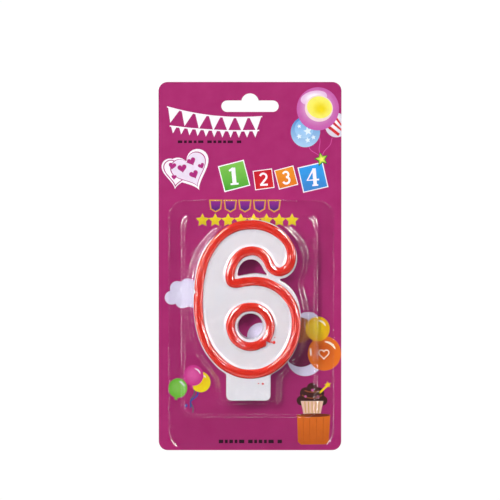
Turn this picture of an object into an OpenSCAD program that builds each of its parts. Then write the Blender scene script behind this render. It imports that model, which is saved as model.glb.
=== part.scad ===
// Number birthday candle in its hanging blister pack: a printed backing card, a clear
// formed blister sealed to the card's front, and a wax "6" with a raised painted outline.
// X runs across the card, Y runs through it with the front facing -Y, and Z is up.
// The origin is the crown of the hang slot, halfway through the card's thickness.

/* [Card] */
// Width of the backing card
card_w = 90; // [88:1:110]
// Height of the backing card
card_h = 181.5; // [181:0.5:220]
// Thickness of the paperboard
card_t = 0.6; // [0.4:0.1:1]
// Radius of the card's corners
card_corner_r = 4.5; // [2:0.5:8]

/* [Hang slot] */
// Crown of the hang slot to the card's top edge
slot_margin = 5.6; // [4:0.2:10]
// Overall width of the slot
slot_w = 28.2; // [24:0.2:36]
// Height of the slot beside its round bump
slot_h = 5.6; // [5:0.2:8]
// Bottom of the slot below its crown
slot_drop = 9.1; // [8.6:0.1:12]
// Radius of the bump that centres the slot on its peg
slot_bump_r = 4.3; // [4:0.1:5]

/* [Blister] */
// Thickness of the clear sheet
sheet_t = 0.35; // [0.25:0.05:0.4]
// Thickness of the seal between the flange and the card
seal_t = 0.05; // [0.02:0.01:0.08]
// Width of the flange
flange_w = 81; // [78:1:84]
// Height of the flange
flange_h = 122; // [118:1:123]
// Radius of the flange's corners
flange_corner_r = 8; // [4:1:10]
// Top edge of the flange below the slot's crown
flange_drop = 52.7; // [52:0.1:53]
// Offset of the flange across the card
flange_shift = 0.6; // [-1:0.1:1]
// Width of the raised platform
platform_w = 68; // [66:0.5:72]
// Height of the raised platform
platform_h = 101; // [100:0.2:104]
// Radius of the platform's corners
platform_corner_r = 5; // [3:0.5:8]
// Top edge of the platform below the slot's crown
platform_drop = 59; // [58:0.1:59.8]
// Offset of the platform across the card
platform_shift = -0.3; // [-1:0.1:1]
// Depth of the raised platform, outside
platform_depth = 4.2; // [3:0.1:6]
// Depth of the candle's cavity, outside
cavity_depth = 13; // [12.6:0.1:16]
// Width of the cavity round the candle's stem
cavity_stem_w = 31; // [28:0.5:34]
// Bottom of the cavity below the foot of the stem
cavity_foot_gap = 1.2; // [1.1:0.1:2]

/* [Candle] */
// Foot of the candle's stem below the slot's crown
candle_drop = 150.8; // [150.6:0.1:151]
// Gap between the candle's back and the card
candle_gap = 0.5; // [0.4:0.1:0.8]
// Thickness of the wax body
body_t = 8.6; // [8:0.1:9]
// Width of the stem that stands in the cake
stem_w = 21.8; // [18:0.2:24]
// Offset of the stem from the card's middle
stem_shift = -0.8; // [-2:0.1:2]
// Radius of the stem's lower corners
stem_corner_r = 2.5; // [1:0.5:4]
// Radius of the round hole in the bowl of the numeral
counter_hole_r = 6.5; // [5.5:0.1:7]

/* [Painted bead] */
// Width of the raised bead
bead_w = 4.3; // [3.6:0.1:4.5]
// Height of the raised bead
bead_h = 1.6; // [1:0.1:1.8]
// Radius of the bead round the bowl's hole, to its middle
counter_bead_r = 9.75; // [9.5:0.05:10]
// Height of a stray drip of paint
drip_h = 0.35; // [0.2:0.05:0.5]

/* [Wick] */
// Diameter of the braided wick
wick_d = 1.2; // [0.8:0.1:1.6]
// Clearance round the wick in the wax
wick_clearance = 0.05; // [0.03:0.01:0.1]
// Tip of the wick above the foot of the stem
wick_tip = 89.5; // [89:0.1:89.6]
// Root of the wick above the foot of the stem
wick_root = 73; // [72:0.5:80]

/* [Hidden] */

$fn = 96;
overcut = 1;
curve_steps = 4;
corner_steps = 6;
bead_arc_steps = 6;

card_front = -card_t / 2;
seal_front = card_front - seal_t;
candle_back = card_front - candle_gap;
candle_face = candle_back - body_t;
stem_top = 20;
counter_centre = [0.25, 36.4];
wick_x = 1;

// Anchor points of the numeral, in mm from the card's middle and from the foot of the stem.
// Each list runs clockwise as seen from the front.

// Outside of the wax, from the notch under the hook down the bowl's right side to the stem
body_right = [
    [11.8, 60], [17.2, 57.6], [21.6, 53.2], [24.2, 47], [25, 39.4], [24.2, 31],
    [21.1, 22.9], [15.9, 16.5], [10.1, 12.5]
];
// Outside of the wax, from the stem up the left side and round to the underside of the hook
body_left = [
    [-11.7, 13], [-15.9, 16.2], [-21.6, 22.9], [-25.4, 31], [-27.4, 40.4], [-27.8, 49.9],
    [-27.3, 59.4], [-25.4, 68.6], [-21.3, 76.6], [-15.2, 82.6], [-7.6, 87.1], [1, 88.7],
    [9, 87.5], [15.8, 83.7], [20.8, 77.8], [23.1, 70.6], [21.7, 64.4], [18, 60.7], [14, 59.8],
    [11.8, 60]
];

// Opening between the hook and the bowl: the arch, then the sill
bay_arch = [
    [-6.2, 60.9], [-5.8, 64], [-4.5, 66.9], [-2.2, 68.8], [0.8, 69.4], [3.6, 68.5],
    [5.6, 66.3], [7.2, 63.4], [9.8, 60.7]
];
bay_sill = [[9.8, 60.7], [6.4, 62], [2.5, 62.4], [-2, 61.8], [-6.2, 60.9]];

// Middle of the painted bead round the whole numeral
bead_anchors = [
    [1, 86.3], [7.8, 85.2], [14.1, 82], [18.7, 77], [20.4, 71], [18.9, 65.7],
    [14.9, 63.4], [11, 64.8], [8.4, 69.2], [5.2, 72.5], [0.8, 73.6], [-4, 72.4], [-7.5, 68.8],
    [-9.3, 64.6], [-9.9, 60.8], [-9.1, 58.2], [-6.6, 57.6], [-2, 58.3], [4, 58.6],
    [10.5, 56.9], [16.6, 52.8], [20.9, 46.6], [22.6, 39.2], [21.9, 31.4], [18.9, 24.2],
    [14, 18.4], [7.6, 14.5], [0.4, 13.1], [-7, 14.3], [-13.6, 18.2], [-19.1, 24.2],
    [-22.9, 31.8], [-24.8, 40.2], [-25.3, 49.4], [-24.7, 58.4], [-22.7, 67.2], [-19, 75],
    [-13.5, 81.4], [-6.5, 85.3]
];

// Outside of the blister's cavity round the numeral
cavity_anchors = [
    [0.5, 90.35], [10, 89.4], [18.6, 85.8], [25, 79.6], [28.4, 71.9], [27.6, 64.4], [25.6, 58.9],
    [26.6, 52.4], [28.2, 45.4], [28.7, 37.4], [27.4, 28.4], [23.6, 19.9], [17, 12.8], [8, 8.2],
    [-0.5, 7], [-9, 8.2], [-18.6, 13.6], [-25.6, 21.8], [-29.2, 30.9], [-30.6, 40.9],
    [-30.8, 51.4], [-30.1, 60.9], [-27.9, 70], [-23.6, 78], [-17.4, 84.2], [-8.8, 88.7]
];

// Stray drips of paint: across, up and radius
drips = [[11.8, 28.6, 0.8], [12.2, 31.1, 0.4], [6.3, 8.3, 0.65], [4.2, 8.4, 0.4]];

// Point at fraction t of the smooth span from b to c
function span_point(a, b, c, d, t) =
    0.5 * (2 * b + (c - a) * t + (2 * a - 5 * b + 4 * c - d) * t * t
        + (3 * b - a - 3 * c + d) * t * t * t);

// Smooth closed curve through the anchors
function closed_curve(p) = let (n = len(p)) [
    for (i = [0 : n - 1], k = [0 : curve_steps - 1])
        span_point(p[(i + n - 1) % n], p[i], p[(i + 1) % n], p[(i + 2) % n], k / curve_steps)
];

// Smooth open curve through the anchors, without its last point
function open_curve(p) = let (n = len(p)) [
    for (i = [0 : n - 2], k = [0 : curve_steps - 1])
        span_point(p[max(i - 1, 0)], p[i], p[i + 1], p[min(i + 2, n - 1)], k / curve_steps)
];

// Outward unit normal of a clockwise closed curve at point i
function outward(p, i) = let (
    n = len(p),
    run = p[(i + 1) % n] - p[(i + n - 1) % n]
) [-run[1], run[0]] / norm(run);

// Clockwise closed curve moved inwards by d
function moved_in(p, d) = [for (i = [0 : len(p) - 1]) p[i] - d * outward(p, i)];

// Flat shape drawn across and up, made solid from y = back forward to y = front
module slab(back, front) {
    translate([0, back, 0]) rotate([90, 0, 0]) linear_extrude(height = back - front) children();
}

// Rectangle with round corners, hung from its top edge
module hung_rectangle(w, h, r) {
    translate([-w / 2 + r, -h]) square([w - 2 * r, h]);
    translate([-w / 2, -h + r]) square([w, h - 2 * r]);
    for (x = [-w / 2 + r, w / 2 - r], z = [-h + r, -r]) translate([x, z]) circle(r = r);
}

module hang_slot_shape() {
    end_r = slot_h / 2;
    translate([0, -slot_bump_r]) circle(r = slot_bump_r);
    translate([-slot_w / 2 + end_r, -slot_drop]) square([slot_w - slot_h, slot_h]);
    for (x = [-slot_w / 2 + end_r, slot_w / 2 - end_r])
        translate([x, -slot_drop + end_r]) circle(r = end_r);
}

module backing_card() {
    color("mediumvioletred")
        difference() {
            slab(card_t / 2, card_front)
                translate([0, slot_margin]) hung_rectangle(card_w, card_h, card_corner_r);
            slab(card_t / 2 + overcut, card_front - overcut) hang_slot_shape();
        }
}

module flange_shape() {
    translate([flange_shift, -flange_drop]) hung_rectangle(flange_w, flange_h, flange_corner_r);
}

module platform_shape(inset) {
    translate([platform_shift, -platform_drop - inset])
        hung_rectangle(platform_w - 2 * inset, platform_h - 2 * inset, platform_corner_r - inset);
}

module cavity_shape(inset) {
    foot = -cavity_foot_gap + inset;
    width = cavity_stem_w - 2 * inset;
    translate([0, -candle_drop]) {
        polygon(moved_in(closed_curve(cavity_anchors), inset));
        translate([stem_shift - width / 2, foot]) square([width, stem_top - foot]);
    }
}

module blister_shell() {
    color("white", 0.3)
        difference() {
            union() {
                slab(seal_front, seal_front - sheet_t) flange_shape();
                slab(seal_front, seal_front - platform_depth) platform_shape(0);
                slab(seal_front, seal_front - cavity_depth) cavity_shape(0);
            }
            slab(seal_front + overcut, seal_front - platform_depth + sheet_t)
                platform_shape(sheet_t);
            slab(seal_front + overcut, seal_front - cavity_depth + sheet_t)
                cavity_shape(sheet_t);
        }
}

// Upright rod set down into the crown of the numeral
module wick_rod(r, tip) {
    translate([wick_x, candle_back - body_t / 2, wick_root - candle_drop])
        cylinder(r = r, h = tip - wick_root);
}

// Lower corner of the stem: side is 1 at the right and -1 at the left
function stem_corner(side) = let (start = side > 0 ? 0 : 270) [
    for (k = [0 : corner_steps])
        let (a = start - 90 * k / corner_steps)
            [stem_shift + side * (stem_w / 2 - stem_corner_r), stem_corner_r]
                + stem_corner_r * [cos(a), sin(a)]
];

module numeral_shape() {
    difference() {
        polygon(concat(
            open_curve(body_right), [body_right[len(body_right) - 1]],
            stem_corner(1), stem_corner(-1), open_curve(body_left)
        ));
        polygon(concat(open_curve(bay_arch), open_curve(bay_sill)));
        translate(counter_centre) circle(r = counter_hole_r);
    }
}

module candle_body() {
    color("whitesmoke")
        difference() {
            translate([0, 0, -candle_drop]) slab(candle_back, candle_face) numeral_shape();
            wick_rod(wick_d / 2 + wick_clearance, wick_tip + overcut);
        }
}

// Radius of the circle whose segment is w wide and h high
function segment_r(w, h) = (w * w / 4 + h * h) / (2 * h);

// Section of the painted bead, from its inner edge over the top to its outer edge
function bead_section() = let (
    r = segment_r(bead_w, bead_h),
    half_angle = asin(bead_w / 2 / r)
) [
    for (k = [0 : bead_arc_steps])
        let (a = half_angle * (2 * k / bead_arc_steps - 1)) [r * sin(a), r * cos(a) - r + bead_h]
];

module outline_bead() {
    path = closed_curve(bead_anchors);
    section = bead_section();
    rings = len(path);
    sides = len(section);
    points = [
        for (i = [0 : rings - 1], s = section)
            let (p = path[i] + s[0] * outward(path, i)) [p[0], candle_face - s[1], p[1]]
    ];
    faces = [
        for (i = [0 : rings - 1], j = [0 : sides - 1])
            let (here = i * sides, next = ((i + 1) % rings) * sides, k = (j + 1) % sides)
                [here + j, here + k, next + k, next + j]
    ];
    color("red") translate([0, 0, -candle_drop]) polyhedron(points = points, faces = faces);
}

// Shallow dome of paint standing on the candle's face
module dome(x, z, r, h) {
    ball_r = segment_r(2 * r, h);
    translate([x, candle_face, z])
        intersection() {
            translate([0, ball_r - h, 0]) sphere(r = ball_r);
            translate([-ball_r, -h - overcut, -ball_r]) cube([2 * ball_r, h + overcut, 2 * ball_r]);
        }
}

module counter_bead() {
    r = segment_r(bead_w, bead_h);
    color("red")
        translate([counter_centre[0], candle_face, counter_centre[1] - candle_drop])
            rotate([90, 0, 0])
                rotate_extrude()
                    translate([counter_bead_r, 0])
                        intersection() {
                            translate([0, bead_h - r]) circle(r = r);
                            translate([-bead_w / 2 - overcut, 0])
                                square([bead_w + 2 * overcut, bead_h + overcut]);
                        }
}

module paint_drips() {
    color("red")
        translate([0, 0, -candle_drop])
            for (d = drips) dome(d[0], d[1], d[2], drip_h);
}

module wick() {
    color("ivory") wick_rod(wick_d / 2, wick_tip);
}

backing_card();
blister_shell();
candle_body();
outline_bead();
counter_bead();
paint_drips();
wick();
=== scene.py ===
"""Looks of the number birthday candle in its blister pack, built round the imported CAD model."""
import math

import bmesh
import bpy
import numpy as np
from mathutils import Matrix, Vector, noise


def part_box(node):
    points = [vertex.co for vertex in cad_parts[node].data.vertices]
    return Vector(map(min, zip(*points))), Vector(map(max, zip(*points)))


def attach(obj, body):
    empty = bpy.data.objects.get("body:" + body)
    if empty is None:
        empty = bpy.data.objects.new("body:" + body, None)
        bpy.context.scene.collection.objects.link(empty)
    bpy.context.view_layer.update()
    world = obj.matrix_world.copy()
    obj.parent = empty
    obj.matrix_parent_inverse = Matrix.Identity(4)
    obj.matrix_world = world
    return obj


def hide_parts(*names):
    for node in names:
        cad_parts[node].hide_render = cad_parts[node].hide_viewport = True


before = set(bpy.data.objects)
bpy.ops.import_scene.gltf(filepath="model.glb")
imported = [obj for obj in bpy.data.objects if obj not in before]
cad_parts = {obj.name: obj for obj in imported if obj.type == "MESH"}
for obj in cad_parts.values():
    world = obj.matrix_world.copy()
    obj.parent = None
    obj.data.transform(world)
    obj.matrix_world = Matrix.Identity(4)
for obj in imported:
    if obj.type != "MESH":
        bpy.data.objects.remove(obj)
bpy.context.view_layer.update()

MM = 0.001
CARD_LOW, CARD_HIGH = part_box("backing_card")
BLISTER_LOW, BLISTER_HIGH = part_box("blister_shell")
WAX_LOW, WAX_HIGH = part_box("candle_body")
WICK_LOW, WICK_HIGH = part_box("wick")

CARD_FRONT, CARD_BACK = CARD_LOW[1] / MM, CARD_HIGH[1] / MM
ROOF_FRONT, SEAL_FRONT = BLISTER_LOW[1] / MM, BLISTER_HIGH[1] / MM
WAX_FACE, WAX_BACK = WAX_LOW[1] / MM, WAX_HIGH[1] / MM
FOOT = WAX_LOW[2] / MM

# ------------------------------ outlines, in millimetres
# The numeral's anchors are those of the CAD model: across from the card's middle, and up from
# the foot of the stem. Each list runs clockwise as seen from the front.
WAX_RIGHT = [
    (11.8, 60), (17.2, 57.6), (21.6, 53.2), (24.2, 47), (25, 39.4), (24.2, 31),
    (21.1, 22.9), (15.9, 16.5), (10.1, 12.5),
]
WAX_LEFT = [
    (-11.7, 13), (-15.9, 16.2), (-21.6, 22.9), (-25.4, 31), (-27.4, 40.4), (-27.8, 49.9),
    (-27.3, 59.4), (-25.4, 68.6), (-21.3, 76.6), (-15.2, 82.6), (-7.6, 87.1), (1, 88.7),
    (9, 87.5), (15.8, 83.7), (20.8, 77.8), (23.1, 70.6), (21.7, 64.4), (18, 60.7), (14, 59.8),
    (11.8, 60),
]
BAY_ARCH = [
    (-6.2, 60.9), (-5.8, 64), (-4.5, 66.9), (-2.2, 68.8), (0.8, 69.4), (3.6, 68.5),
    (5.6, 66.3), (7.2, 63.4), (9.8, 60.7),
]
BAY_SILL = [(9.8, 60.7), (6.4, 62), (2.5, 62.4), (-2, 61.8), (-6.2, 60.9)]
BEAD_PATH = [
    (1, 86.3), (7.8, 85.2), (14.1, 82), (18.7, 77), (20.4, 71), (18.9, 65.7),
    (14.9, 63.4), (11, 64.8), (8.4, 69.2), (5.2, 72.5), (0.8, 73.6), (-4, 72.4), (-7.5, 68.8),
    (-9.3, 64.6), (-9.9, 60.8), (-9.1, 58.2), (-6.6, 57.6), (-2, 58.3), (4, 58.6),
    (10.5, 56.9), (16.6, 52.8), (20.9, 46.6), (22.6, 39.2), (21.9, 31.4), (18.9, 24.2),
    (14, 18.4), (7.6, 14.5), (0.4, 13.1), (-7, 14.3), (-13.6, 18.2), (-19.1, 24.2),
    (-22.9, 31.8), (-24.8, 40.2), (-25.3, 49.4), (-24.7, 58.4), (-22.7, 67.2), (-19, 75),
    (-13.5, 81.4), (-6.5, 85.3),
]
# The cavity's foot, from the left of the stem over the numeral to the right of the stem
CAVITY_OVER = [
    (-16.5, 8.4), (-17.2, 11.2), (-20.4, 15.2), (-25.8, 22.1), (-29.2, 30.9), (-30.6, 40.9),
    (-30.8, 51.4), (-30.1, 60.9), (-27.9, 70), (-23.6, 78), (-17.4, 84.1), (-8.8, 88.6),
    (0.5, 90.1), (10, 89.2), (18.6, 85.4), (25, 79.5), (28.4, 71.9), (27.6, 64.4), (25.6, 58.9),
    (26.6, 52.4), (28.2, 45.4), (28.7, 37.4), (27.4, 28.4), (23.8, 20.2), (18.2, 14),
    (15.5, 10.8), (14.9, 8.4),
]
CAVITY_LOW = -1.7
CAVITY_CORNER_R = 2.5
STEM_CORNER_R = 2.5
COUNTER = (0.25, 36.4)
COUNTER_HOLE_R = 6.5
COUNTER_BEAD_R = 9.75
BEAD_HALF = 2.15
BEAD_H = 1.6


def span(a, b, c, d, t):
    """Point at fraction t of the smooth span from b to c."""
    return tuple(
        0.5 * (2 * q + (r - p) * t + (2 * p - 5 * q + 4 * r - s) * t**2
               + (3 * q - p - 3 * r + s) * t**3)
        for p, q, r, s in zip(a, b, c, d)
    )


def closed_curve(points, steps):
    n = len(points)
    return [
        span(points[i - 1], points[i], points[(i + 1) % n], points[(i + 2) % n], k / steps)
        for i in range(n) for k in range(steps)
    ]


def open_curve(points, steps):
    """Smooth curve through the points, without its last point."""
    n = len(points)
    return [
        span(points[max(i - 1, 0)], points[i], points[i + 1], points[min(i + 2, n - 1)], k / steps)
        for i in range(n - 1) for k in range(steps)
    ]


def arc(centre, r, start, end, steps):
    """Points on a circle from one angle to another, in degrees."""
    turns = [math.radians(start + (end - start) * k / steps) for k in range(steps + 1)]
    return [(centre[0] + r * math.cos(a), centre[1] + r * math.sin(a)) for a in turns]


def circle(centre, r, steps=64):
    return arc(centre, r, 0, 360, steps)[:-1]


def run_along(path):
    """Each point's distance along the path."""
    return np.concatenate([[0], np.cumsum(np.linalg.norm(np.diff(path, axis=0), axis=1))])


def even(points, gap):
    """The same closed curve with its points an even distance apart."""
    pts = np.array(points + points[:1], float)
    run = run_along(pts)
    count = max(int(round(run[-1] / gap)), 3)
    at = np.linspace(0, run[-1], count + 1)[:-1]
    return np.stack([np.interp(at, run, pts[:, 0]), np.interp(at, run, pts[:, 1])], axis=1)


def outward(path, closed=True):
    """Unit normals to the left of the way the path runs, which is outwards when clockwise."""
    if closed:
        run = np.roll(path, -1, axis=0) - np.roll(path, 1, axis=0)
    else:
        run = np.gradient(path, axis=0)
    run /= np.linalg.norm(run, axis=1)[:, None]
    return np.stack([-run[:, 1], run[:, 0]], axis=1)


def distance_to(points, path):
    """Distance from each point to the nearest point of a dense path."""
    out = np.empty(len(points))
    for i in range(0, len(points), 4000):
        part = points[i:i + 4000, None, :] - path[None, :, :]
        out[i:i + 4000] = np.sqrt((part**2).sum(-1).min(1))
    return out


def inside(points, loop):
    """True for each point within the closed loop."""
    x, z = points[:, 0], points[:, 1]
    hit = np.zeros(len(points), bool)
    for (x1, z1), (x2, z2) in zip(loop, np.roll(loop, -1, axis=0)):
        if z1 == z2:
            continue
        crosses = (z1 > z) != (z2 > z)
        hit ^= crosses & (x < (x2 - x1) * (z - z1) / (z2 - z1) + x1)
    return hit


def eased(path, passes):
    """The closed path with its small wobbles averaged out."""
    for _ in range(passes):
        path = (np.roll(path, 1, axis=0) + 2 * path + np.roll(path, -1, axis=0)) / 4
    return path


def smoothstep(t):
    t = np.clip(t, 0, 1)
    return t * t * (3 - 2 * t)


# ------------------------------ mesh helpers
def make_object(name, mesh, materials, smooth=True):
    ob = bpy.data.objects.new(name, mesh)
    bpy.context.scene.collection.objects.link(ob)
    for m in materials:
        mesh.materials.append(m)
    if smooth:
        mesh.shade_smooth()
    return ob


def from_millimetres(name, verts, faces, materials, smooth=True):
    mesh = bpy.data.meshes.new(name)
    mesh.from_pydata([tuple(c * MM for c in v) for v in verts], [], faces)
    mesh.update()
    return make_object(name, mesh, materials, smooth)


def apply_modifiers(ob):
    """Puts the result of the object's modifiers into its own mesh."""
    graph = bpy.context.evaluated_depsgraph_get()
    made = bpy.data.meshes.new_from_object(ob.evaluated_get(graph), depsgraph=graph)
    old = ob.data
    ob.modifiers.clear()
    ob.data = made
    bpy.data.meshes.remove(old)


def outward_faces(ob):
    bm = bmesh.new()
    bm.from_mesh(ob.data)
    bmesh.ops.recalc_face_normals(bm, faces=bm.faces)
    bm.to_mesh(ob.data)
    bm.free()


def painted(name, verts, faces, uvs, material):
    """A piece of paint, with a texture position for each vertex."""
    ob = from_millimetres(name, verts, faces, [material])
    layer = ob.data.uv_layers.new(name="stroke")
    for loop in ob.data.loops:
        layer.data[loop.index].uv = uvs[loop.vertex_index]
    outward_faces(ob)
    return ob


def plate(name, loops, back, front, materials):
    """Solid plate between two depths. The first loop is its outline and the rest are its holes."""
    bm = bmesh.new()
    for loop in loops:
        ring = [bm.verts.new((x * MM, back * MM, z * MM)) for x, z in loop]
        for i, v in enumerate(ring):
            bm.edges.new((ring[i - 1], v))
    bmesh.ops.triangle_fill(bm, use_beauty=True, use_dissolve=False, edges=bm.edges[:])
    grown = bmesh.ops.extrude_face_region(bm, geom=bm.faces[:])
    moved = [g for g in grown["geom"] if isinstance(g, bmesh.types.BMVert)]
    bmesh.ops.translate(bm, verts=moved, vec=(0, (front - back) * MM, 0))
    bmesh.ops.recalc_face_normals(bm, faces=bm.faces)
    mesh = bpy.data.meshes.new(name)
    bm.to_mesh(mesh)
    bm.free()
    return make_object(name, mesh, materials, smooth=False)


# ------------------------------ materials
def linear(red, green, blue):
    """Screen colour from 0 to 255 as a linear colour."""
    return tuple(
        c / 12.92 if c <= 0.04045 else ((c + 0.055) / 1.055) ** 2.4
        for c in (red / 255, green / 255, blue / 255)
    ) + (1.0,)


class Nodes:
    """Short calls for building one material's node tree."""

    def __init__(self, name):
        self.material = bpy.data.materials.new(name)
        self.material.use_nodes = True
        self.tree = self.material.node_tree
        self.shader = self.tree.nodes["Principled BSDF"]
        self.output = self.tree.nodes["Material Output"]

    def add(self, kind, **inputs):
        node = self.tree.nodes.new(kind)
        for key, value in inputs.items():
            node.inputs[key.replace("_", " ")].default_value = value
        return node

    def link(self, source, target):
        self.tree.links.new(source, target)

    def set(self, **inputs):
        for key, value in inputs.items():
            self.shader.inputs[key.replace("_", " ")].default_value = value

    def coords(self, scale=(1, 1, 1)):
        where = self.add("ShaderNodeTexCoord")
        mapping = self.add("ShaderNodeMapping", Scale=scale)
        self.link(where.outputs["Object"], mapping.inputs["Vector"])
        return mapping.outputs["Vector"]

    def noise(self, vector, scale, detail=3.0, roughness=0.5):
        node = self.add("ShaderNodeTexNoise", Scale=scale, Detail=detail, Roughness=roughness)
        self.link(vector, node.inputs["Vector"])
        return node.outputs["Fac"]

    def ramp(self, value, stops):
        node = self.add("ShaderNodeValToRGB")
        elements = node.color_ramp.elements
        while len(elements) < len(stops):
            elements.new(0.5)
        for element, (position, colour) in zip(elements, stops):
            element.position = position
            element.color = colour
        self.link(value, node.inputs["Fac"])
        return node.outputs["Color"]

    def mottle(self, value, low, high):
        """Base colour that goes from one screen colour to another with the value."""
        shades = self.ramp(value, [(0.3, linear(*low)), (0.7, linear(*high))])
        self.link(shades, self.shader.inputs["Base Color"])

    def range(self, value, low, high):
        """The value, from 0 to 1, mapped to a range."""
        node = self.add("ShaderNodeMapRange", To_Min=low, To_Max=high)
        self.link(value, node.inputs["Value"])
        return node.outputs["Result"]

    def bump(self, height, strength, distance):
        node = self.add("ShaderNodeBump", Strength=strength, Distance=distance)
        self.link(height, node.inputs["Height"])
        self.link(node.outputs["Normal"], self.shader.inputs["Normal"])


def wax_material():
    """White satin wax that lets a little light in."""
    n = Nodes("white_wax")
    at = n.coords()
    n.mottle(n.noise(at, 90, 4), (226, 224, 229), (232, 230, 235))
    n.link(n.range(n.noise(at, 260, 3), 0.2, 0.32), n.shader.inputs["Roughness"])
    n.bump(n.noise(at, 420, 4), 0.25, 0.0001)
    n.set(Subsurface_Weight=0.25, Subsurface_Radius=(1.0, 0.85, 0.75), Subsurface_Scale=0.0012)
    n.set(IOR=1.44, Coat_Weight=0.12, Coat_Roughness=0.12)
    return n.material


def paint_material():
    """Glossy red wax paint, streaked along the stroke."""
    n = Nodes("red_paint")
    uv = n.add("ShaderNodeUVMap")
    uv.uv_map = "stroke"
    mapping = n.add("ShaderNodeMapping", Scale=(0.16, 2.6, 1))
    n.link(uv.outputs["UV"], mapping.inputs["Vector"])
    streaks = n.noise(mapping.outputs["Vector"], 1.6, 5, 0.62)
    n.link(n.ramp(streaks, [(0.28, linear(206, 28, 16)), (0.5, linear(224, 42, 24)),
                            (0.74, linear(236, 62, 40))]), n.shader.inputs["Base Color"])
    n.link(n.range(streaks, 0.08, 0.18), n.shader.inputs["Roughness"])
    n.bump(streaks, 0.35, 0.00025)
    n.set(IOR=1.46, Coat_Weight=0.4, Coat_Roughness=0.06)
    n.set(Subsurface_Weight=0.1, Subsurface_Radius=(1.0, 0.25, 0.15), Subsurface_Scale=0.0006)
    return n.material


def wick_material():
    """Waxed white cotton yarn."""
    n = Nodes("wick_cotton")
    at = n.coords()
    fibres = n.noise(at, 2400, 3)
    n.mottle(fibres, (214, 208, 196), (240, 237, 228))
    n.bump(fibres, 0.6, 0.0001)
    n.set(Roughness=0.7, Sheen_Weight=0.2, IOR=1.45)
    return n.material


def sheet_material():
    """Clear formed sheet: it mirrors a little and lets the rest straight through."""
    n = Nodes("clear_sheet")
    mirror = n.add("ShaderNodeBsdfGlossy", Color=(1, 1, 1, 1), Roughness=0.035)
    clear = n.add("ShaderNodeBsdfTransparent", Color=(0.985, 0.985, 0.988, 1))
    facing = n.add("ShaderNodeLayerWeight", Blend=0.5)
    share = n.ramp(facing.outputs["Facing"], [
        (0.0, (0.02, 0.02, 0.02, 1)), (0.3, (0.06, 0.06, 0.06, 1)),
        (0.6, (0.06, 0.06, 0.06, 1)), (1.0, (0.12, 0.12, 0.12, 1)),
    ])
    mix = n.add("ShaderNodeMixShader")
    n.link(share, mix.inputs["Fac"])
    n.link(clear.outputs["BSDF"], mix.inputs[1])
    n.link(mirror.outputs["BSDF"], mix.inputs[2])
    n.link(mix.outputs["Shader"], n.output.inputs["Surface"])
    n.tree.nodes.remove(n.shader)
    return n.material


def ink_material():
    """Printed inks under gloss varnish: each shape's own colour, faintly mottled."""
    n = Nodes("print_inks")
    at = n.coords()
    ink = n.add("ShaderNodeVertexColor")
    ink.layer_name = "ink"
    mottle = n.ramp(n.noise(at, 500, 3), [(0.3, (0.93, 0.93, 0.93, 1)), (0.7, (1, 1, 1, 1))])
    mix = n.add("ShaderNodeMix")
    mix.data_type = "RGBA"
    mix.blend_type = "MULTIPLY"
    mix.inputs["Factor"].default_value = 1
    n.link(ink.outputs["Color"], mix.inputs["A"])
    n.link(mottle, mix.inputs["B"])
    n.link(mix.outputs["Result"], n.shader.inputs["Base Color"])
    n.bump(n.noise(at, 1500, 2), 0.05, 0.00005)
    n.set(Roughness=0.22, IOR=1.35)
    return n.material


def ground_material():
    """The card's magenta ground."""
    n = Nodes("ink_ground")
    at = n.coords()
    n.mottle(n.noise(at, 120, 4), (159, 37, 101), (165, 43, 107))
    n.bump(n.noise(at, 900, 3), 0.05, 0.0001)
    n.set(Roughness=0.22, IOR=1.35)
    return n.material


def board_material(name, low, high, roughness):
    """Bare paperboard with a faint fibre."""
    n = Nodes(name)
    at = n.coords((1, 1, 3))
    fibre = n.noise(at, 700, 5, 0.7)
    n.mottle(fibre, low, high)
    n.bump(fibre, 0.2, 0.0001)
    n.set(Roughness=roughness, IOR=1.4)
    return n.material


# ------------------------------ the candle
def wax_outline(steps):
    r = STEM_CORNER_R
    right, left = WAX_RIGHT[-1][0], WAX_LEFT[0][0]
    return (
        open_curve(WAX_RIGHT, steps) + [WAX_RIGHT[-1]]
        + arc((right - r, r), r, 0, -90, 8) + arc((left + r, r), r, 270, 180, 8)
        + open_curve(WAX_LEFT, steps)
    )


VOXEL = 0.4
DISH_DEPTH = 0.4
DISH_START, DISH_END = 0.2, 1.3
FRONT_LAYER = 2.0
PANEL_WAVE, RIM_WAVE, WAVE_RATE = 0.05, 0.03, 0.12
HOLE_DRAFT, HOLE_SPREAD = 0.6, 2.5


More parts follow.
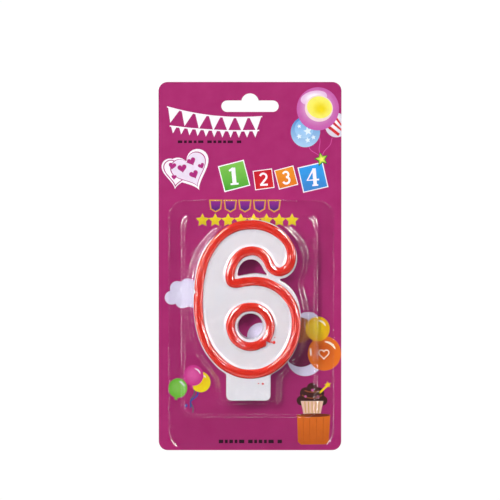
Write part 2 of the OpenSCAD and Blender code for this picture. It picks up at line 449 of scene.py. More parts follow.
def candle_wax(material):
    """The numeral's body: one casting with soft edges, dished between the painted beads."""
    loops = [wax_outline(8), open_curve(BAY_ARCH, 6) + open_curve(BAY_SILL, 6),
             circle(COUNTER, COUNTER_HOLE_R, 96)]
    raised = [[(x, z + FOOT) for x, z in loop] for loop in loops]
    ob = plate("candle_wax", raised, WAX_BACK, WAX_FACE, [material])
    remesh = ob.modifiers.new("remesh", "REMESH")
    remesh.mode = "VOXEL"
    remesh.voxel_size = VOXEL * MM
    relax = ob.modifiers.new("relax", "SMOOTH")
    relax.factor = 0.5
    relax.iterations = 3
    apply_modifiers(ob)

    mesh = ob.data
    co = np.empty(len(mesh.vertices) * 3)
    mesh.vertices.foreach_get("co", co)
    co = co.reshape(-1, 3) / MM
    flat = np.stack([co[:, 0], co[:, 2] - FOOT], axis=1)
    ring = np.array(circle(COUNTER, COUNTER_BEAD_R, 240))
    stroke = even(closed_curve(BEAD_PATH, 8), 0.4)
    gap = np.minimum(distance_to(flat, stroke), distance_to(flat, ring)) - BEAD_HALF
    panel = inside(flat, stroke) & ~inside(flat, ring)
    front = np.clip(1 - (co[:, 1] - WAX_FACE) / FRONT_LAYER, 0, 1)
    sink = DISH_DEPTH * smoothstep((gap - DISH_START) / (DISH_END - DISH_START))
    wave = np.array([noise.noise(Vector((x * WAVE_RATE, z * WAVE_RATE, 3.0))) for x, z in flat])
    co[:, 1] += front * np.where(panel, sink + PANEL_WAVE * wave, RIM_WAVE * wave)

    deep = np.clip((co[:, 1] - WAX_FACE) / (WAX_BACK - WAX_FACE), 0, 1)
    reach = np.linalg.norm(flat - COUNTER, axis=1)
    near = 1 - smoothstep((reach - COUNTER_HOLE_R) / HOLE_SPREAD)
    pull = (near * deep * HOLE_DRAFT / np.maximum(reach, 1))[:, None] * (flat - COUNTER)
    co[:, 0] -= pull[:, 0]
    co[:, 2] -= pull[:, 1]
    mesh.vertices.foreach_set("co", (co * MM).ravel())
    mesh.update()
    mesh.shade_smooth()
    return ob


STREAK_H, RIPPLE_H = 0.22, 0.07
ROOT_SHARE, ROOT_DEPTH = 0.92, 0.5


def stroke_mesh(name, path, inner, outer, heights, material, seed):
    """Raised bead of paint round a closed path, with its two half-widths at each point."""
    across = 28
    normals = outward(path)
    along = run_along(path)
    turn = np.linspace(-math.pi / 2, math.pi / 2, across)
    verts, uvs = [], []
    for i, (point, normal) in enumerate(zip(path, normals)):
        for a in turn:
            side = math.sin(a)
            reach = side * (outer[i] if side > 0 else inner[i])
            rise = heights[i] * abs(math.cos(a)) ** 0.8
            streak = noise.noise(Vector((along[i] * 0.10, side * 4.6 + seed, seed)))
            ripple = noise.noise(Vector((along[i] * 0.55, side * 2.2, seed + 9)))
            rise += math.cos(a) * (STREAK_H * streak + RIPPLE_H * ripple)
            x, z = point + reach * normal
            verts.append((x, WAX_FACE - rise, z + FOOT))
            uvs.append((along[i], side))
        for side in (1, -1):
            x, z = point + side * (outer[i] if side > 0 else inner[i]) * ROOT_SHARE * normal
            verts.append((x, WAX_FACE + ROOT_DEPTH, z + FOOT))
            uvs.append((along[i], side))
    sides = across + 2
    rings = len(path)
    faces = []
    for i in range(rings):
        here, there = i * sides, ((i + 1) % rings) * sides
        for j in range(sides):
            k = (j + 1) % sides
            faces.append((here + j, there + j, there + k, here + k))
    return painted(name, verts, faces, uvs, material)


def uneven(count, base, amount, pitch, seed):
    """A half-width at each point that wanders a little round its base."""
    wander = [noise.noise(Vector((i * pitch, seed, 0.5))) for i in range(count)]
    return base + amount * np.array(wander)


# The chip on the outline's left side: height, half-height and depth
CHIP_Z, CHIP_HALF, CHIP_DEPTH = 53.3, 0.9, 0.7


def outline_stroke(material):
    path = even(closed_curve(BEAD_PATH, 12), 0.35)
    count = len(path)
    inner = uneven(count, BEAD_HALF, 0.16, 0.05, 2.0)
    outer = uneven(count, BEAD_HALF + 0.15, 0.16, 0.05, 7.0)
    chip = np.exp(-(((path[:, 1] - CHIP_Z) / CHIP_HALF) ** 2)) * (path[:, 0] < -20)
    outer -= CHIP_DEPTH * chip
    height = uneven(count, BEAD_H - 0.1, 0.12, 0.04, 4.0)
    return stroke_mesh("outline_stroke", path, inner, outer, height, material, 1.5)


# Edge of the ring where the brush stroke ends on its start: degrees from +X, outer half-width
STROKE_END = [
    (-62, 2.25), (-52, 2.5), (-48, 2.0), (-44, 0.9), (-42, 1.2), (-40, 2.85), (-36, 2.4),
    (-28, 2.15),
]


def counter_stroke(material):
    turns = np.linspace(0, -360, 300, endpoint=False)
    rad = np.radians(turns)
    path = np.stack([COUNTER[0] + COUNTER_BEAD_R * np.cos(rad),
                     COUNTER[1] + COUNTER_BEAD_R * np.sin(rad)], axis=1)
    inner = uneven(len(path), BEAD_HALF, 0.14, 0.06, 11.0)
    outer = uneven(len(path), BEAD_HALF + 0.05, 0.2, 0.06, 15.0)
    degrees = ((turns + 180) % 360) - 180
    at = [d for d, w in STROKE_END]
    end = (degrees > at[0]) & (degrees < at[-1])
    outer[end] = np.interp(degrees[end], at, [w for d, w in STROKE_END])
    height = uneven(len(path), BEAD_H - 0.1, 0.12, 0.05, 19.0)
    return stroke_mesh("counter_stroke", path, inner, outer, height, material, 8.5)


# Stray drips: across, up, radius
DRIPS = [
    (11.7, 28.6, 0.85), (12.2, 31.1, 0.35), (10.5, 28.8, 0.4), (6.3, 8.3, 0.65), (4.2, 8.4, 0.4),
]
DRIP_H, DRIP_ROOT = 0.34, 0.9


def paint_drips(material):
    verts, faces = [], []
    rings, sides = 5, 18
    for n, (cx, cz, r) in enumerate(DRIPS):
        base = len(verts)
        verts.append((cx, WAX_FACE - DRIP_H, cz + FOOT))
        for i in range(1, rings + 1):
            t = i / rings
            for j in range(sides):
                a = 2 * math.pi * j / sides
                ragged = noise.noise(Vector((math.cos(a), math.sin(a), n * 3.1)))
                reach = r * t * (1 + 0.22 * ragged)
                depth = -DRIP_H * math.sqrt(max(1 - t * t, 0)) if i < rings else DRIP_ROOT
                verts.append((cx + reach * math.cos(a), WAX_FACE + depth,
                              cz + FOOT + reach * math.sin(a)))
        for j in range(sides):
            faces.append((base, base + 1 + j, base + 1 + (j + 1) % sides))
            for i in range(rings - 1):
                p, q = base + 1 + i * sides, base + 1 + (i + 1) * sides
                faces.append((p + j, q + j, q + (j + 1) % sides, p + (j + 1) % sides))
        faces.append(tuple(base + 1 + (rings - 1) * sides + j for j in range(sides)))
    return painted("paint_drips_soft", verts, faces, [(x, z) for x, y, z in verts], material)


def wick_braid(material):
    """Three waxed strands laid round each other, from the root to the lit end."""
    cx = (WICK_LOW[0] + WICK_HIGH[0]) / 2 / MM
    cy = (WICK_LOW[1] + WICK_HIGH[1]) / 2 / MM
    low, high = WICK_LOW[2] / MM, WICK_HIGH[2] / MM
    radius = (WICK_HIGH[0] - WICK_LOW[0]) / 2 / MM
    strand_r, lay_r, pitch = radius * 0.5, radius * 0.5, 3.2
    sides, rings = 8, 90
    verts, faces = [], []
    for strand in range(3):
        base = len(verts)
        for i in range(rings):
            z = low + (high - low) * i / (rings - 1)
            a = 2 * math.pi * (z / pitch + strand / 3)
            for j in range(sides):
                b = 2 * math.pi * j / sides
                verts.append((cx + lay_r * math.cos(a) + strand_r * math.cos(b),
                              cy + lay_r * math.sin(a) + strand_r * math.sin(b), z))
        for i in range(rings - 1):
            for j in range(sides):
                k = (j + 1) % sides
                p = base + i * sides
                faces.append((p + j, p + k, p + sides + k, p + sides + j))
        faces.append(tuple(base + j for j in reversed(range(sides))))
        faces.append(tuple(base + (rings - 1) * sides + j for j in range(sides)))
    return from_millimetres("wick_braid", verts, faces, [material])


# ------------------------------ the blister
SHEET_T = 0.35
FLANGE_SIZE, FLANGE_R = (81, 122), 8
EDGE_LIFT, EDGE_WIDTH = 0.12, 0.3
PLATFORM_SIZE, PLATFORM_R = (68, 101), 6
PLATFORM_LEFT, PLATFORM_TOP = -34.3, -59
PLATFORM_DEPTH = 4.2
# Each wall's draft, the radii of its foot and rim, and the flat margin kept beyond them
PLATFORM_WALL = (0.7, 0.9, 0.9, 0.2)
CAVITY_WALL = (1.3, 0.6, 0.9, 0.15)
# Half the length of the steep stretch over the numeral's crown, and its fade
CROWN_HALF, CROWN_FADE = 16, 6
WALL_GAP, FLANGE_GAP = 0.45, 0.6
EASE_PASSES = 60


def round_rectangle(left, top, size, r, steps=12):
    """Clockwise loop of a rectangle with round corners, from its top left corner."""
    right, low = left + size[0], top - size[1]
    corners = ((left + r, top - r, 180), (right - r, top - r, 90), (right - r, low + r, 0),
               (left + r, low + r, -90))
    return [at for x, z, turn in corners for at in arc((x, z), r, turn, turn - 90, steps)]


def step_profile(low, high, draft, foot_r, rim_r, margin, arc_steps=6):
    """Down a drafted wall, with a round foot outside and a round rim inside.

    Each point is its inset from the loop, the share of the draft it has, and its depth.
    """
    points = [(-foot_r - margin, 0, low)]
    tilt = math.atan2(draft, high - low)
    for k in range(arc_steps + 1):
        a = (math.pi / 2 - tilt) * k / arc_steps
        points.append((-foot_r + foot_r * math.sin(a), 0, low + foot_r * (1 - math.cos(a))))
    for k in range(arc_steps + 1):
        a = tilt + (math.pi / 2 - tilt) * k / arc_steps
        points.append((rim_r * (1 - math.cos(a)), draft, high - rim_r * (1 - math.sin(a))))
    points.append((rim_r + margin, draft, high))
    return points


def formed_wall(bm, path, profile, front, lean, spread):
    """Adds a wall swept round a loop, and returns its first and last rings.

    At each point of the loop, lean scales the draft and spread scales the fillets.
    """
    normals = outward(path)
    rings = []
    for inset, draft, depth in profile:
        at = path - (inset * spread + draft * lean)[:, None] * normals
        rings.append([bm.verts.new((x * MM, (front - depth) * MM, z * MM)) for x, z in at])
    n = len(path)
    for low, high in zip(rings, rings[1:]):
        for i in range(n):
            bm.faces.new((low[i], low[(i + 1) % n], high[(i + 1) % n], high[i]))
    return rings[0], rings[-1]


def ring_edges(bm, ring):
    pairs = [(ring[i - 1], v) for i, v in enumerate(ring)]
    return [bm.edges.get(pair) or bm.edges.new(pair) for pair in pairs]


def cut_edge(level, steps=5):
    """Profile of the flange's cut edge, which is pressed a little forwards."""
    along = [k / steps for k in range(steps + 1)]
    return [(EDGE_WIDTH * t, 0, level + EDGE_LIFT * (1 - t) ** 2) for t in along]


def cavity_path():
    """Clockwise loop at the foot of the cavity's wall, with each point's lean and spread.

    The path is eased except at the stem, and the wall is steeper over the numeral's crown.
    """
    left, right = CAVITY_OVER[0][0], CAVITY_OVER[-1][0]
    r = CAVITY_CORNER_R
    loop = (
        open_curve(CAVITY_OVER, 8) + [CAVITY_OVER[-1]]
        + arc((right - r, CAVITY_LOW + r), r, 0, -90, 8)
        + arc((left + r, CAVITY_LOW + r), r, -90, -180, 8)
    )
    path = even(loop, WALL_GAP)
    over_stem = smoothstep((path[:, 1] - 9) / 5)[:, None]
    path += over_stem * (eased(path, EASE_PASSES) - path)
    lean = 1 - 0.65 * smoothstep((path[:, 1] - 76) / 9)
    spread = 1 - 0.5 * smoothstep((path[:, 1] - 82) / 5)
    path[:, 1] += FOOT
    return path, lean, spread


def platform_path():
    """Clockwise loop at the platform's foot, with each point's lean and spread.

    The wall is steep over the numeral's crown, where the cavity comes close to it.
    """
    r = PLATFORM_WALL[1]
    size = [side - 2 * r for side in PLATFORM_SIZE]
    loop = round_rectangle(PLATFORM_LEFT + r, PLATFORM_TOP - r, size, PLATFORM_R - r, 24)
    path = even(loop, WALL_GAP)
    crown = 1 - smoothstep((np.abs(path[:, 0]) - CROWN_HALF) / CROWN_FADE)
    crown[path[:, 1] < PLATFORM_TOP - 2] = 0
    return path, 1 - crown, 1 - 0.65 * crown


def blister_sheet(material):
    """Clear sheet formed with a flange, a raised platform and the numeral's cavity."""
    bm = bmesh.new()
    flat, deck = SHEET_T, PLATFORM_DEPTH
    roof = SEAL_FRONT - ROOF_FRONT
    flange_left, flange_top = BLISTER_LOW[0] / MM, BLISTER_HIGH[2] / MM
    flange = even(round_rectangle(flange_left, flange_top, FLANGE_SIZE, FLANGE_R, 24), FLANGE_GAP)
    platform, lean, spread = platform_path()
    plain = np.ones(len(flange))
    _, rim = formed_wall(bm, flange, cut_edge(flat), SEAL_FRONT, plain, plain)
    profile = step_profile(flat, deck, *PLATFORM_WALL)
    platform_foot, platform_rim = formed_wall(bm, platform, profile, SEAL_FRONT, lean, spread)
    cavity, lean, spread = cavity_path()
    profile = step_profile(deck, roof, *CAVITY_WALL)
    cavity_foot, cavity_rim = formed_wall(bm, cavity, profile, SEAL_FRONT, lean, spread)
    for rings in ((rim, platform_foot), (platform_rim, cavity_foot), (cavity_rim,)):
        edges = [e for ring in rings for e in ring_edges(bm, ring)]
        bmesh.ops.triangle_fill(bm, use_beauty=True, use_dissolve=False, edges=edges)
    bmesh.ops.recalc_face_normals(bm, faces=bm.faces)
    bm.normal_update()
    if sum(f.normal.y * f.calc_area() for f in bm.faces) > 0:
        bmesh.ops.reverse_faces(bm, faces=bm.faces)
    mesh = bpy.data.meshes.new("blister_sheet")
    bm.to_mesh(mesh)
    bm.free()
    ob = make_object("blister_sheet", mesh, [material])
    thick = ob.modifiers.new("thickness", "SOLIDIFY")
    thick.thickness = SHEET_T * MM
    thick.offset = -1
    apply_modifiers(ob)
    ob.data.shade_smooth()
    ob.data.set_sharp_from_angle(angle=math.radians(40))
    return ob


# ------------------------------ the card
SLOT_W, SLOT_H, SLOT_DROP, BUMP_R = 28.2, 5.6, 9.1, 4.3
CARD_R = 4.5


def slot_outline():
    """The hang slot, clockwise, with its round bump at the top."""
    end = SLOT_H / 2
    left, right = -SLOT_W / 2 + end, SLOT_W / 2 - end
    middle = -SLOT_DROP + end
    lift = math.degrees(math.asin((middle + end + BUMP_R) / BUMP_R))
    return (
        arc((left, middle), end, 270, 90, 16) + arc((0, -BUMP_R), BUMP_R, 180 - lift, lift, 24)
        + arc((right, middle), end, 90, -90, 16)
    )


def card_board(front_ink, edge_board, back_board):
    """Paperboard printed on its front, with bare edges and a plain back."""
    low, high = CARD_LOW, CARD_HIGH
    size = ((high[0] - low[0]) / MM, (high[2] - low[2]) / MM)
    outline = round_rectangle(low[0] / MM, high[2] / MM, size, CARD_R)
    ob = plate("card_board", [outline, slot_outline()], CARD_BACK, CARD_FRONT,
               [front_ink, edge_board, back_board])
    for face in ob.data.polygons:
        y = face.normal.y
        face.material_index = 0 if y < -0.5 else 2 if y > 0.5 else 1
    return ob


LAYER = 0.005
STAGGER = 0.0008


class Print:
    """Ink shapes on the card's front, each a very thin closed prism with its own colours."""

    def __init__(self):
        self.verts, self.faces, self.colours, self.count = [], [], [], 0

    def shape(self, points, ink, layer=1, fade=None, core=None, focus=None):
        """One shape of ink. It can fade downwards to a second ink, or inwards to a core ink."""
        edge = CARD_HIGH[0] / MM - 0.05
        points = [(min(x, edge), z) for x, z in points]
        front = CARD_FRONT - LAYER * layer - STAGGER * (self.count % 5)
        back = CARD_FRONT - 0.001
        self.count += 1
        n, base = len(points), len(self.verts)
        low = min(z for x, z in points)
        height = max(max(z for x, z in points) - low, 0.01)
        rings = 7 if core else 1
        focus = focus or points[0]
        for k in range(rings):
            t = k / rings
            for x, z in points:
                at = (x + (focus[0] - x) * t, z + (focus[1] - z) * t)
                self.verts.append((at[0], front, at[1]))
                if core:
                    self.colours.append(blend(INKS[ink], INKS[core], smoothstep(t * 1.15)))
                else:
                    down = 1 - (z - low) / height
                    self.colours.append(blend(INKS[ink], INKS[fade or ink], down))
        under = len(self.verts)
        self.verts += [(x, back, z) for x, z in points]
        self.colours += [linear(*INKS[ink])] * n
        for k in range(rings - 1):
            a, b = base + k * n, base + (k + 1) * n
            self.faces += [(a + i, a + (i + 1) % n, b + (i + 1) % n, b + i) for i in range(n)]
        self.faces.append(tuple(base + (rings - 1) * n + i for i in range(n)))
        self.faces.append(tuple(under + i for i in reversed(range(n))))
        self.faces += [(base + i, under + i, under + (i + 1) % n, base + (i + 1) % n)
                       for i in range(n)]

    def band(self, points, width, ink, layer=1, taper=False):
        """A line of ink along an open run of points."""
        path = np.array(points, float)
        side = outward(path, closed=False)
        half = np.full(len(path), width / 2)
        if taper:
            half *= np.sqrt(np.sin(np.linspace(0.12, math.pi - 0.12, len(path))))
        left = path + side * half[:, None]
        right = path - side * half[:, None]
        self.shape([tuple(p) for p in left] + [tuple(p) for p in right[::-1]], ink, layer)

    def ring(self, points, width, ink, layer=1):
        """An outline of ink round a closed shape, in two halves."""
        n = len(points)
        self.band(points[:n // 2 + 1], width, ink, layer)
        self.band(points[n // 2:] + points[:1], width, ink, layer)


def blend(first, second, t):
    """Linear colour between two screen colours."""
    a, b = linear(*first), linear(*second)
    return tuple(p + (q - p) * float(t) for p, q in zip(a, b))


def turned(points, centre, degrees, scale=1.0):
    """Points given about the origin, scaled, turned and moved to a centre."""
    c, s = math.cos(math.radians(degrees)), math.sin(math.radians(degrees))
    return [(centre[0] + scale * (x * c - z * s), centre[1] + scale * (x * s + z * c))
            for x, z in points]


def oval(centre, rx, rz, tilt=0, steps=48):
    return turned([(rx * x, rz * z) for x, z in circle((0, 0), 1, steps)], centre, tilt)


def star(centre, r, tilt=0, waist=0.45):
    tips = []
    for i in range(10):
        reach = r * (waist if i % 2 else 1)
        a = math.pi * i / 5
        tips.append((reach * math.sin(a), reach * math.cos(a)))
    return turned(tips, centre, tilt)


def heart(centre, size, tilt=0, steps=48):
    turns = [2 * math.pi * k / steps for k in range(steps)]
    shape = [(16 * math.sin(t) ** 3 / 17,
              (13 * math.cos(t) - 5 * math.cos(2 * t) - 2 * math.cos(3 * t) - math.cos(4 * t)) / 17)
             for t in turns]
    return turned(shape, centre, tilt, size)


def merged(discs, centre, steps=120):
    """Outline round overlapping discs, each across, up and radius from the centre."""
    points = []
    for k in range(steps):
        a = 2 * math.pi * k / steps
        dx, dz = math.cos(a), math.sin(a)
        reach = 0
        for x, z, r in discs:
            along = x * dx + z * dz
            inner = r * r - (x * x + z * z - along * along)
            if inner > 0:
                reach = max(reach, along + math.sqrt(inner))
        points.append((centre[0] + reach * dx, centre[1] + reach * dz))
    return points


def balloon(art, centre, r, ink, core, layer, tilt=0, knot=True, shine="white"):
    """A round balloon with its knot below and a curved shine at the upper right."""
    focus = (centre[0] - 0.15 * r, centre[1] + 0.2 * r)
    if knot:
        art.shape(turned([(0, -0.96), (0.2, -1.24), (-0.2, -1.24)], centre, tilt, r), ink, layer)
    art.shape(oval(centre, r, r * 1.04, tilt), ink, layer + 1, core=core, focus=focus)
    glint = arc((0, 0), 0.7, 22, 88, 12)
    art.band(turned(glint, centre, tilt, r), 0.13 * r, shine, layer + 2, True)


# Strokes of the digits on the blocks, each a run of points and its width
DIGITS = {
    1: [([(-0.02, 0.62), (-0.02, -0.6)], 0.3), ([(-0.34, 0.4), (-0.02, 0.6)], 0.14),
        ([(-0.32, -0.6), (0.28, -0.6)], 0.13)],
    2: [(arc((-0.02, 0.27), 0.33, 165, -40, 12) + [(-0.3, -0.56)], 0.2),
        ([(-0.38, -0.56), (0.4, -0.56)], 0.2)],
    3: [(arc((-0.02, 0.3), 0.28, 160, -85, 12), 0.2),
        (arc((-0.02, -0.27), 0.33, 88, -158, 14), 0.21)],
    4: [([(0.1, 0.66), (-0.46, -0.2), (0.46, -0.2)], 0.13), ([(0.13, 0.68), (0.13, -0.64)], 0.27),
        ([(-0.1, -0.62), (0.36, -0.62)], 0.12)],
}


def number_block(art, digit, centre, side, tilt, ink, fade):
    """A printed block: a white-edged tilted square with a plain digit."""
    half = side / 2
    square = [(-half, -half), (-half, half), (half, half), (half, -half)]
    art.shape(turned(square, centre, tilt, 1.06), "white", 1)
    art.shape(turned(square, centre, tilt, 0.98), ink, 2, fade=fade)
    for k, (stroke, width) in enumerate(DIGITS[digit]):
        scale = half * 1.06
        art.band(turned(stroke, centre, tilt * 0.35, scale), width * scale, "white", 3 + k)


def wave(start, end, swing, turns, steps=28):
    """A wavy run of points from start down to end."""
    (x1, z1), (x2, z2) = start, end
    points = []
    for k in range(steps + 1):
        t = k / steps
        aside = swing * math.sin(2 * math.pi * turns * t) * math.sin(math.pi * t)
        points.append((x1 + (x2 - x1) * t + aside, z1 + (z2 - z1) * t))
    return points


def dashes(art, left, right, z, height, ink):
    """A plain line of short and long dashes where small print would stand."""
    x, k, h = left, 0, height / 2
    while x < right:
        width = min((2.2, 1.4, 1.8, 1.4, 2.6)[k % 5], right - x)
        art.shape([(x, z - h), (x, z + h), (x + width, z + h), (x + width, z - h)], ink, 1)
        x += width + (1.9 if k % 5 == 4 else 0.8)
        k += 1


def bunting(art, left, right, sag, flags, size):
    """A garland of white pennants on a sagging string."""
    steps = 8 * flags
    line = []
    for k in range(steps + 1):
        t = k / steps
        line.append((left[0] + (right[0] - left[0]) * t,
                     left[1] + (right[1] - left[1]) * t - sag * 4 * t * (1 - t)))
    art.band(line, 0.6, "white", 1)
    for f in range(flags):
        x, z = line[8 * f + 4]
        after = line[8 * f + 5]
        tilt = math.degrees(math.atan2(after[1] - z, after[0] - x))
        pennant = [(-0.45, 0), (0.45, 0), (0, -1.1)]
        art.shape(turned(pennant, (x, z - 0.1), tilt, size), "white", 2)


def garland_art(art):
    bunting(art, (-40.8, -6.6), (6.0, -11.4), 2.2, 7, 6.4)
    bunting(art, (-39.5, -16.0), (4.5, -18.2), 1.0, 11, 3.0)
    dashes(art, -35.5, -3.5, -23.8, 1.3, "dark")


def sky_art(art):
    """Balloons in the upper right corner, with their strings tied to a star."""
    knot = (35.2, -32.4)
    starts = (((33.3, -18.5), 0.7), ((28.6, -26.0), -0.8), ((40.5, -21.8), 0.9))
    for k, (start, swing) in enumerate(starts):
        art.band(wave(start, knot, swing, 1), 0.32, "string", 1 + k)
    art.shape(oval((42.6, -15.6), 5.7, 6.0), "pale", 1, core="white", focus=(42, -14))
    for offset in (-3.4, 0, 3.4):
        left, right = offset - 0.8, offset + 0.8
        stripe = [(left, -4.4), (left, 4.4), (right, 4.4), (right, -4.4)]
        art.shape(turned(stripe, (42.6, -15.6), 52, 0.9), "scarlet", 2)
    art.shape(oval((27.3, -18.9), 7.2, 7.6, -8, 56), "sky_deep", 3, fade="sky_pale")
    art.shape(oval((26.6, -17.4), 4.6, 4.8, 0, 40), "sky", 4, fade="sky_pale")
    for x, z, r in ((28.4, -18.6, 2.2), (24.2, -21.2, 1.4), (28.4, -23, 1.5), (31.2, -21.6, 1.3),
                    (24.2, -16.2, 1.1)):
        art.shape(star((x, z), r, 12), "ice", 5)
    art.shape(oval((33.4, -7.6), 10.4, 10.6, 0, 64), "orchid", 5, core="lilac_light",
              focus=(32, -4))
    art.shape(oval((31.4, -2.2), 6.6, 3.4, 12, 40), "lilac_light", 6, core="white",
              focus=(31, -1.5))
    art.shape(oval((33.9, -7.4), 6.9, 6.5, -12, 48), "blush", 7)
    art.shape(oval((34.2, -6.9), 6.2, 5.4, -12, 48), "lemon", 8, core="yellow", focus=(35, -8))
    art.shape(star(knot, 3.7, 14, waist=0.5), "forest", 4)
    art.shape(star((knot[0], knot[1] + 0.1), 3.0, 14, waist=0.5), "lime", 5, core="lemon",
              focus=knot)


def heart_art(art):
    """A plain double heart badge at the upper left."""
    art.shape(heart((-35.8, -38.6), 8.6, -8), "white", 1)
    art.shape(heart((-29.6, -37.2), 11.4, 24), "white", 2)
    art.ring(heart((-35.8, -38.5), 7.4, -8), 0.45, "wine", 3)
    art.shape(heart((-29.6, -37.1), 9.8, 24), "wine", 4)
    art.shape(heart((-29.6, -37.1), 9.3, 24), "frost", 5)
    for x, z, r, tilt in ((-38.2, -35.6, 2.0, -8), (-33.4, -36.8, 2.4, 10), (-28.8, -33.4, 2.3, 24),
                          (-27.6, -39.8, 2.4, 24), (-24.0, -35.6, 1.7, 24), (-37.4, -41.2, 1.4, 0)):
        art.shape(heart((x, z), r, tilt, 24), "wine", 6)


def block_art(art):
    number_block(art, 1, (-7.8, -40.6), 12.4, 14.5, "green_light", "green")
    number_block(art, 2, (6.7, -42.3), 9.0, 7.6, "red", "scarlet")
    number_block(art, 3, (17.8, -41.4), 9.2, 14.7, "orange_light", "orange")
    number_block(art, 4, (31.0, -41.3), 12.0, 13, "azure", "sky_deep")


def greeting_art(art):
    """Two rows of plain shapes where a greeting would stand: pennants, then stars."""
    for k in range(5):
        x = -16.9 + 7.2 * k
        pennant = [(-3.3, 3.1), (3.3, 3.1), (2.7, -1.6), (0, -3.2), (-2.7, -1.6)]
        art.shape(turned(pennant, (x, -55.4), 0, 1.0), "gold", 1)
        art.shape(turned(pennant, (x, -55.4), 0, 0.78), "violet", 2, fade="indigo")
    for k in range(8):
        art.shape(star((-23.4 + 6.3 * k, -62.5), 3.4, 0, waist=0.52), "yellow", 2, fade="olive")


def cupcake(art):
    """A small cake in its paper cup above the basket."""
    frosting = [(-5.2, -1.6, 2.4), (5.2, -1.6, 2.4), (0, 0, 4.6), (-3.0, 2.0, 3.0),
                (3.0, 2.0, 3.0), (0, 4.6, 2.6)]
    art.shape(merged(frosting, (30.6, -149.8)), "cocoa", 1)
    art.band(arc((30.6, -141.6), 8.6, 235, 305, 12), 0.5, "brown", 2)
    art.band(arc((30.6, -138.6), 8.6, 245, 295, 12), 0.5, "brown", 2)
    art.shape([(25.0, -151.6), (36.2, -151.6), (34.6, -158.6), (26.6, -158.6)], "peach", 3)
    for k in range(5):
        x = 27.0 + 1.8 * k
        art.band([(x, -151.8), (x - (k - 2) * 0.28, -158.4)], 0.45, "tan", 4)
    art.band([(34.4, -147.6), (38.2, -143.8)], 0.9, "sun", 3)
    art.shape(star((38.4, -143.6), 1.8, 10), "sun", 4)
    for x, z in ((27.4, -149.4), (30.8, -146.2), (33.6, -149.6)):
        art.shape(circle((x, z), 0.6, 16), "rose", 2)


def lower_art(art):
    """Cloud, balloons and basket round the candle."""
    cloud = [(-7.4, -2.0, 3.4), (-4.6, 2.6, 3.6), (0.6, 3.6, 4.0), (5.4, 2.2, 4.0),
             (-2.0, -3.4, 3.8), (3.4, -3.2, 3.8), (7.6, -1.6, 3.6), (0, 0, 5.0)]
    art.shape(merged(cloud, (-31.2, -98.6)), "cloud", 1, core="cloud_light", focus=(-31, -98))
    art.band(wave((-27.9, -144), (-28.4, -157.5), 1.2, 1.3), 0.5, "teal", 1)
    art.band(wave((-25.6, -146), (-29.6, -155), 1.2, 1.1), 0.7, "denim", 2)
    art.shape(circle((-31.5, -153.9), 0.75, 20), "denim", 1)
    balloon(art, (-24.4, -142.2), 4.9, "yellow", "sun", 1, 20, False)
    balloon(art, (-35.6, -145.2), 4.6, "leaf", "green_light", 3, -10)
    balloon(art, (-27.9, -139.0), 4.95, "pink", "rose", 5, -8)

    art.shape(circle((28.6, -114.2), 6.6, 48), "cloud", 1)
    art.shape(circle((24.4, -116.6), 6.4, 48), "brown", 2)
    art.shape(circle((5.2, -119.6), 6.6, 48), "cloud", 1, core="cloud_light", focus=(6, -120))
    art.shape(circle((27.2, -130.4), 8.9, 56), "cloud", 1)
    # The plum disc, darker than the card's ground, is painted shade where the candle's shadow falls
    # right of the bowl; it also trims the pale disc under it to a crescent
    art.shape(circle((25.2, -126.4), 8.4, 56), "painted_shade_plum", 2)
    balloon(art, (36.7, -128.1), 8.2, "orange", "orange_deep", 2, 0, False, "cream")
    art.ring(heart((36.4, -128.3), 2.7, 0, 40), 0.45, "cream", 5)
    art.band([(29.8, -125.6), (30.1, -129.2)], 0.8, "cream", 5)
    balloon(art, (33.4, -116.0), 5.9, "amber", "sun", 5, 0, False, "cream")

    cupcake(art)
    basket = [(23.2, -158.2), (39.6, -158.2), (39.0, -171.6), (37.4, -173.0), (25.2, -173.2),
              (23.6, -171.8)]
    art.shape(basket, "orange", 5, fade="basket_low")
    for x in (26.2, 29.4, 32.8, 36.2):
        art.band([(x, -159.6), (x + 0.04 * (31 - x), -172.6)], 0.4, "basket_low", 6)
    art.shape(oval((31.4, -158.6), 8.2, 0.9, 0, 40), "umber", 7)
    dashes(art, -15.4, 16.4, -171.6, 1.7, "dark")


INKS = {
    "white": (246, 240, 248), "pale": (214, 206, 222), "frost": (232, 218, 236),
    "ice": (226, 238, 250), "orchid": (196, 92, 168), "lilac_light": (228, 186, 222),
    "blush": (240, 214, 214), "lemon": (246, 238, 110), "yellow": (240, 216, 30),
    "olive": (206, 180, 40), "sun": (242, 208, 20), "sky_deep": (64, 128, 200),
    "sky": (110, 172, 226), "sky_pale": (170, 206, 238), "azure": (48, 158, 236),
    "scarlet": (206, 40, 46), "red": (196, 30, 44), "string": (206, 76, 156),
    "lime": (150, 200, 50), "forest": (34, 96, 44), "wine": (168, 42, 118), "green": (70, 160, 50),
    "green_light": (132, 196, 84), "orange": (224, 112, 34), "orange_light": (236, 150, 40),
    "orange_deep": (206, 88, 24), "gold": (214, 152, 60), "violet": (150, 44, 140),
    "indigo": (62, 36, 120), "cloud": (214, 206, 230), "cloud_light": (224, 218, 238),
    "teal": (60, 100, 110), "denim": (44, 72, 160), "leaf": (110, 186, 56), "pink": (206, 56, 140),
    "rose": (222, 92, 164), "cream": (252, 240, 214), "amber": (232, 176, 24),
    # plum is painted shade: the card's ground as it looks in the candle's shadow
    "brown": (150, 76, 46), "painted_shade_plum": (112, 34, 70), "cocoa": (66, 36, 34), "peach": (232, 190, 166),
    "tan": (206, 160, 90), "basket_low": (196, 94, 24), "umber": (120, 52, 28),
    "dark": (44, 12, 32),
}


def card_print():
    art = Print()
    for draw in (garland_art, sky_art, heart_art, block_art, greeting_art, lower_art):
        draw(art)
    ob = from_millimetres("card_print", art.verts, art.faces, [ink_material()], smooth=False)
    layer = ob.data.color_attributes.new(name="ink", type="FLOAT_COLOR", domain="POINT")
    layer.data.foreach_set("color", np.array(art.colours, dtype=np.float32).ravel())
    outward_faces(ob)
    return ob


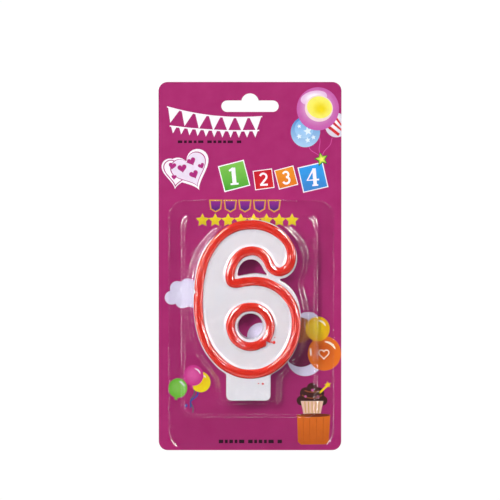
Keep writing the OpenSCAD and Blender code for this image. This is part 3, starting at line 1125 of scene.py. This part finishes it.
# ------------------------------ putting it together
wax = candle_wax(wax_material())
paint = paint_material()
outline = outline_stroke(paint)
ring = counter_stroke(paint)
drips = paint_drips(paint)
braid = wick_braid(wick_material())
for piece, node, slot in (
    (wax, "candle_body", "white_wax"), (outline, "outline_bead", "red_paint_wax"),
    (ring, "counter_bead", "red_paint_wax"), (drips, "paint_drips", "red_paint_wax"),
    (braid, "wick", "wick_cotton"),
):
    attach(piece, "candle")
    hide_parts(node)

sheet = blister_sheet(sheet_material())
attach(sheet, "blister")
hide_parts("blister_shell")

board = card_board(
    ground_material(),
    board_material("card_edge", (226, 220, 216), (244, 240, 236), 0.8),
    board_material("card_back", (226, 224, 220), (238, 236, 232), 0.65),
)
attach(board, "card")
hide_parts("backing_card")
printed = card_print()
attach(printed, "card")


# ------------------------------ stage, light and camera
def glow_material(name, strength):
    n = Nodes(name)
    glow = n.add("ShaderNodeEmission", Color=(1, 1, 1, 1), Strength=strength)
    n.link(glow.outputs["Emission"], n.output.inputs["Surface"])
    n.tree.nodes.remove(n.shader)
    return n.material


def seen_only(ob):
    """Lets the camera see the object, without it lighting or shading the part."""
    ob.visible_diffuse = False
    ob.visible_glossy = False
    ob.visible_transmission = False
    ob.visible_shadow = False


FLOOR_DROP, FLOOR_HALF = 0.13, 3
DOME_R = 6


def studio():
    """White surroundings for the camera, and a dim cool world for the reflections."""
    white = glow_material("studio_white", 1.02)
    dome = bmesh.new()
    bmesh.ops.create_uvsphere(dome, u_segments=48, v_segments=24, radius=DOME_R)
    mesh = bpy.data.meshes.new("backdrop")
    dome.to_mesh(mesh)
    dome.free()
    seen_only(make_object("backdrop", mesh, [white]))
    h, floor_z = FLOOR_HALF, CARD_LOW[2] - FLOOR_DROP
    floor = bpy.data.meshes.new("floor")
    floor.from_pydata([(x, y, floor_z) for x, y in ((-h, -h), (h, -h), (h, h), (-h, h))], [],
                      [(0, 1, 2, 3)])
    seen_only(make_object("floor", floor, [white], smooth=False))

    world = bpy.data.worlds.new("studio")
    bpy.context.scene.world = world
    world.use_nodes = True
    back = world.node_tree.nodes["Background"]
    back.inputs["Color"].default_value = (0.96, 0.97, 1.0, 1)
    back.inputs["Strength"].default_value = 0.11


PACK_MIDDLE = Vector((0, 0, -0.09))


def softbox(name, place, size, power, lights=True, shines=True):
    """Rectangular light aimed at the pack's middle. It can give only light, or only shine."""
    lamp = bpy.data.lights.new(name, "AREA")
    lamp.shape = "RECTANGLE"
    lamp.size, lamp.size_y = size
    lamp.energy = power
    ob = bpy.data.objects.new(name, lamp)
    bpy.context.scene.collection.objects.link(ob)
    ob.location = place
    ob.rotation_euler = (PACK_MIDDLE - Vector(place)).to_track_quat("-Z", "Y").to_euler()
    ob.visible_diffuse = lights
    ob.visible_glossy = shines


def camera():
    """Long lens two metres away, a little above the pack and square to it."""
    distance, rise = 2.0, math.radians(2.0)
    aim = Vector((0, 0, -0.0771))
    view_width = 0.2463
    data = bpy.data.cameras.new("camera")
    data.sensor_width = 36
    data.lens = data.sensor_width * distance / view_width
    data.clip_start, data.clip_end = 0.05, 30
    ob = bpy.data.objects.new("camera", data)
    bpy.context.scene.collection.objects.link(ob)
    ob.location = aim + distance * Vector((0, -math.cos(rise), math.sin(rise)))
    ob.rotation_euler = (aim - ob.location).to_track_quat("-Z", "Y").to_euler()
    bpy.context.scene.camera = ob


studio()
softbox("key_left", (-1.17, -1.43, 0.32), (0.45, 0.90), 31.8, shines=False)
softbox("front_fill", (0.25, -1.6, 0.9), (1.2, 0.7), 12.5, shines=False)
softbox("side_fill", (1.7, -0.5, 0.1), (1.0, 1.2), 13.0, shines=False)
softbox("back_fill", (-0.6, 1.9, 0.8), (1.4, 1.4), 36.0, shines=False)
softbox("shine_left", (-0.80, -0.90, 0.44), (0.20, 1.05), 54.0, lights=False)
softbox("shine_right", (0.78, -0.90, 0.44), (0.20, 1.05), 50.0, lights=False)
softbox("glint_right", (0.62, -0.90, 0.60), (0.26, 0.26), 28.0, lights=False)
softbox("strip_left", (-1.00, -0.71, -0.35), (0.14, 1.20), 10.0, lights=False)
softbox("strip_right", (1.00, -0.71, -0.35), (0.14, 1.20), 11.0, lights=False)
softbox("strip_low", (0, -0.85, -1.05), (2.2, 0.24), 8.0, lights=False)
camera()
bpy.context.scene.view_settings.view_transform = "Standard"
